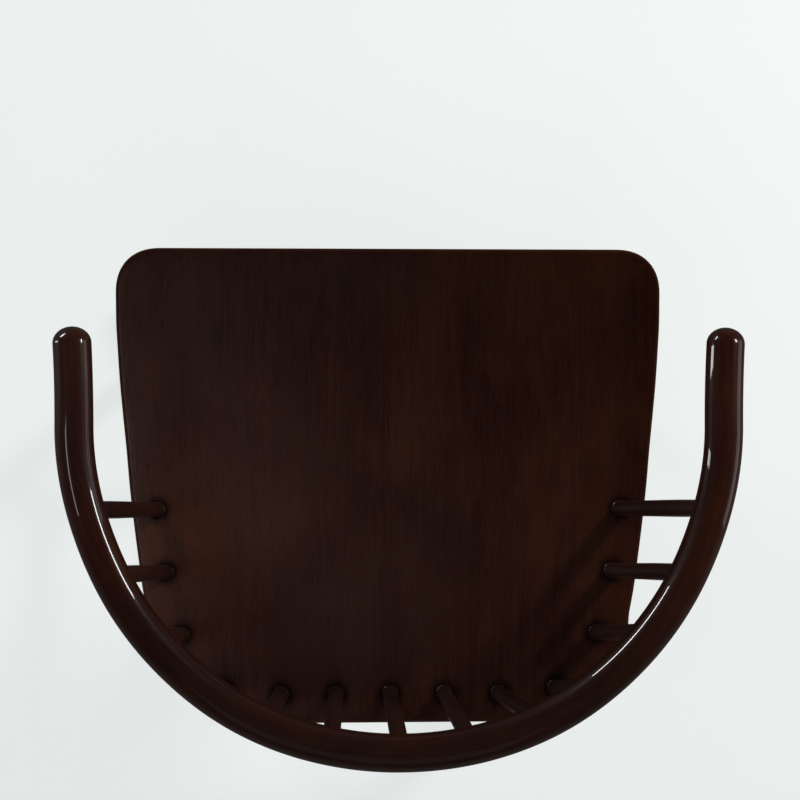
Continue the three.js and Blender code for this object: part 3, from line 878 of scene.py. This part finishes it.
for side, sign in (("left", 1), ("right", -1)):
    off = fibre_offset()
    pegs = []
    for row in ("front", "rear"):
        foot, head = LEGS[f"{row}_{side}"]
        c = foot - (head - foot).normalized() * PEG_DROP
        pegs.append((row, c))
    # the board is drawn in the plane of its side face: its x runs to the rear, its y up
    holes = []
    for row, c in pegs:
        holes.append(((c.y, c.z, 0), (0, 0, 1), PEG_RADIUS + 0.15, 7.0, 1))
        holes.append(((c.y, c.z, -ROCKER_WIDTH), (0, 0, -1), PEG_RADIUS + 0.15, 7.0, -1))
    place_x = sign * ROCKER_SPACING + ROCKER_WIDTH / 2
    basis = Matrix(((0, 0, 1, 0), (1, 0, 0, 0), (0, 1, 0, 0), (0, 0, 0, 1)))
    basis.translation = Vector((place_x, 0, 0)) * MM
    ob = slab(f"rocker_{side}_fine", rocker_loop(), ROCKER_WIDTH, 3.5, holes, CHAIR @ basis,
              lambda v, off=off: (v[1] - rocker_bottom(v[0]) + off.x, v[2] + off.y, v[0] + off.z), cell=9.0)
    place(ob, f"rocker_{side}", base_wood)
    for row, c in pegs:
        half = ROCKER_WIDTH / 2
        a = Vector((sign * ROCKER_SPACING - half, c.y, c.z))
        b = Vector((sign * ROCKER_SPACING + half, c.y, c.z))
        length = ROCKER_WIDTH
        dome = [(0.0, 0.6), (0.05, 1.6), (0.12, 2.6), (0.25, 3.4), (0.6, 3.85), (1.1, PEG_RADIUS)]
        prof = dome + [(length / 2, PEG_RADIUS)] + [(length - z, r) for z, r in reversed(dome)]
        ob = lathe(f"peg_{row}_{side}_fine", prof, CHAIR @ in_metres(along(a, b)), sides=32)
        place(ob, f"peg_{row}_{side}", peg_wood)

# ------------------------------------------------------------------ floor, light, camera

floor_me = bpy.data.meshes.new("floor")
floor_me.from_pydata([(-9, -9, -0.0003), (9, -9, -0.0003), (9, 9, -0.0003), (-9, 9, -0.0003)], [], [(0, 1, 2, 3)])
floor = bpy.data.objects.new("floor", floor_me)
scene.collection.objects.link(floor)
fm = bpy.data.materials.new("pale_floor")
fm.use_nodes = True
fn = fm.node_tree
fb = fn.nodes["Principled BSDF"]
fb.inputs["Base Color"].default_value = (0.26, 0.266, 0.265, 1)
fb.inputs["Roughness"].default_value = 0.95
fb.inputs["Specular IOR Level"].default_value = 0.0
fb.inputs["Emission Color"].default_value = (0.945, 0.985, 0.975, 1)
fb.inputs["Emission Strength"].default_value = 0.69
fd = fn.nodes.new("ShaderNodeEmission")
fd.inputs["Color"].default_value = (0.94, 0.97, 0.97, 1)
fd.inputs["Strength"].default_value = 0.06
fp = fn.nodes.new("ShaderNodeLightPath")
fx = fn.nodes.new("ShaderNodeMixShader")
fn.links.new(fp.outputs["Is Glossy Ray"], fx.inputs[0])
fn.links.new(fb.outputs[0], fx.inputs[1])
fn.links.new(fd.outputs[0], fx.inputs[2])
fn.links.new(fx.outputs[0], fn.nodes["Material Output"].inputs["Surface"])
floor_me.materials.append(fm)

world = bpy.data.worlds.new("studio")
scene.world = world
world.use_nodes = True
wn = world.node_tree
wn.nodes.clear()
wo = wn.nodes.new("ShaderNodeOutputWorld")
bg = wn.nodes.new("ShaderNodeBackground")
wn.links.new(bg.outputs[0], wo.inputs[0])
# a pale room to look at, and a dim one to be lit and mirrored by
bg.inputs["Color"].default_value = (0.9, 0.95, 1.0, 1)
bg.inputs["Strength"].default_value = 0.018
pale = wn.nodes.new("ShaderNodeBackground")
pale.inputs["Color"].default_value = (0.654, 0.682, 0.675, 1)
pale.inputs["Strength"].default_value = 1.0
path = wn.nodes.new("ShaderNodeLightPath")
both = wn.nodes.new("ShaderNodeMixShader")
wn.links.new(path.outputs["Is Camera Ray"], both.inputs[0])
wn.links.new(bg.outputs[0], both.inputs[1])
wn.links.new(pale.outputs[0], both.inputs[2])
wn.links.new(both.outputs[0], wo.inputs[0])


def area(name, where, look, size, power, colour=(1, 1, 1), size_y=None, only=None):
    """only is "shade" for a light that models the form, or "gloss" for one that is there to be mirrored in the lacquer."""
    d = bpy.data.lights.new(name, "AREA")
    d.energy = power
    d.color = colour
    d.shape = "RECTANGLE"
    d.size = size
    d.size_y = size_y or size
    o = bpy.data.objects.new(name, d)
    scene.collection.objects.link(o)
    o.location = where
    o.rotation_mode = "QUATERNION"
    o.rotation_quaternion = (Vector(look) - Vector(where)).to_track_quat("-Z", "Y")
    o.visible_camera = False
    o.visible_glossy = only != "shade"
    o.visible_diffuse = only in (None, "shade")
    if only in ("gloss", "seat gloss", "base gloss"):
        linked = bpy.data.collections.new(name + "_receivers")
        base = [x for x in bpy.data.objects if x.name.endswith("_fine") and x.name.split("_")[0] in ("leg", "rocker", "stretcher", "peg")]
        for x in (base if only == "base gloss" else [seat]):
            linked.objects.link(x)
        for x in linked.collection_objects:
            x.light_linking.link_state = "EXCLUDE" if only == "gloss" else "INCLUDE"
        o.light_linking.receiver_collection = linked
    return o


def toward(azimuth, elevation, distance, base=(0, 0, 0.1)):
    """A point out from a place on the seat, in the seat's frame. Azimuth 0 is the sitter's right, 90 is straight ahead."""
    a, e = math.radians(azimuth), math.radians(elevation)
    return SEAT @ (Vector(base) + Vector((-math.cos(a) * math.cos(e), -math.sin(a) * math.cos(e), math.sin(e))) * distance)


aim = SEAT @ Vector((0, 0, 0.12))
arm_l, arm_r = (0.28, 0.0, 0.235), (-0.28, 0.0, 0.235)
area("key", SEAT @ Vector((-1.66, -1.50, 1.03)), aim, 0.30, 41, (1.0, 0.985, 0.96), 0.30, only="shade")
area("fill_left", toward(130, 38, 2.6), aim, 0.4, 15, (1.0, 1.0, 1.0), 0.6, only="shade")
area("top_soft", toward(250, 72, 2.9), aim, 2.0, 17, (0.98, 0.99, 1.0), 1.6, only="shade")
area("back_soft", toward(265, 12, 3.0), aim, 1.6, 20, (0.98, 0.99, 1.0), 1.0, only="shade")
low = SEAT @ Vector((0, 0, -0.12))
area("low_left", toward(200, 6, 2.8), low, 1.4, 12, (0.98, 0.99, 1.0), 0.9, only="shade")
area("low_right", toward(338, 6, 2.8), low, 1.4, 12, (0.98, 0.99, 1.0), 0.9, only="shade")
area("base_front", toward(105, 2, 2.6), low, 0.7, 7, (1.0, 1.0, 1.0), 1.0, only="base gloss")
area("base_left", toward(205, 4, 2.6), low, 0.5, 6, (1.0, 1.0, 1.0), 1.0, only="base gloss")
area("base_right", toward(335, 4, 2.6), low, 0.5, 6, (1.0, 1.0, 1.0), 1.0, only="base gloss")
area("seat_sheen", toward(182, 62, 2.6), aim, 0.7, 4.0, (0.93, 0.96, 1.0), 0.7, only="seat gloss")
area("streak_right", toward(20, 24, 2.3, arm_l), SEAT @ Vector(arm_l), 0.55, 11.0, (1, 1, 1), 0.28, only="gloss")
area("streak_left", toward(140, 7, 2.4, arm_r), SEAT @ Vector(arm_r), 0.85, 14.0, (1, 1, 1), 0.21, only="gloss")
area("slot_window", toward(171.5, -5, 2.5, arm_r), SEAT @ Vector(arm_r), 0.13, 3.2, (0.97, 0.99, 1.0), 0.8, only="gloss")
area("outer_left", toward(187, 46, 2.3, arm_l), SEAT @ Vector(arm_l), 0.55, 1.6, (0.95, 0.98, 1.0), 0.26, only="gloss")
area("right_window", toward(2, 2, 2.4, arm_l), SEAT @ Vector(arm_l), 1.3, 2.8, (0.98, 0.99, 1.0), 0.9, only="gloss")
area("rear_glow", toward(265, 45, 2.8), aim, 2.2, 0.8, (0.97, 0.99, 1.0), 1.4, only="gloss")

# the camera looks down on the seat along its normal, a little off to the sitter's left
F, YV, XV = 2000.0, 450.0, 298.4
fwd_c = Vector(((XV - 400) / F, (YV - 400) / F, 1)).normalized()      # the seat's inward normal, in camera terms
down_c = (Vector((0, 1, 0)) - fwd_c * fwd_c.y).normalized()
right_c = down_c.cross(fwd_c)
R = Matrix((-right_c, down_c, -fwd_c)).transposed()                   # camera terms = R @ seat terms
cam_right, cam_down, cam_fwd = (Vector(R[i]) for i in range(3))
cam_m = Matrix((cam_right, -cam_down, -cam_fwd)).transposed().to_4x4()
cam_m.translation = Vector((0.0939, -0.0359, 2.055))
cam_d = bpy.data.cameras.new("camera")
cam_d.sensor_width = 36
cam_d.lens = 90
cam_d.clip_end = 100
cam = bpy.data.objects.new("camera", cam_d)
scene.collection.objects.link(cam)
cam.matrix_world = SEAT @ cam_m
scene.camera = cam

scene.view_settings.view_transform = "Standard"
scene.view_settings.look = "None"
scene.view_settings.exposure = 0
scene.cycles.use_denoising = True

bpy.context.view_layer.update()
for ob in list(scene.objects):
    if "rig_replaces" in ob:
        c0, c1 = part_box(ob["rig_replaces"][0])
        co = [ob.matrix_world @ v.co for v in ob.data.vertices]
        v0 = Vector(min(c[i] for c in co) for i in range(3))
        v1 = Vector(max(c[i] for c in co) for i in range(3))
        worst = max(max(abs(a - b) for a, b in zip(c0, v0)), max(abs(a - b) for a, b in zip(c1, v1)))
        if worst > 0.0012:
            print(f"NOTE {ob.name} differs from its CAD box by {worst * 1000:.2f} mm", tuple(round((b - a) * 1000, 2) for a, b in zip(c0, v0)),
                  tuple(round((b - a) * 1000, 2) for a, b in zip(c1, v1)))
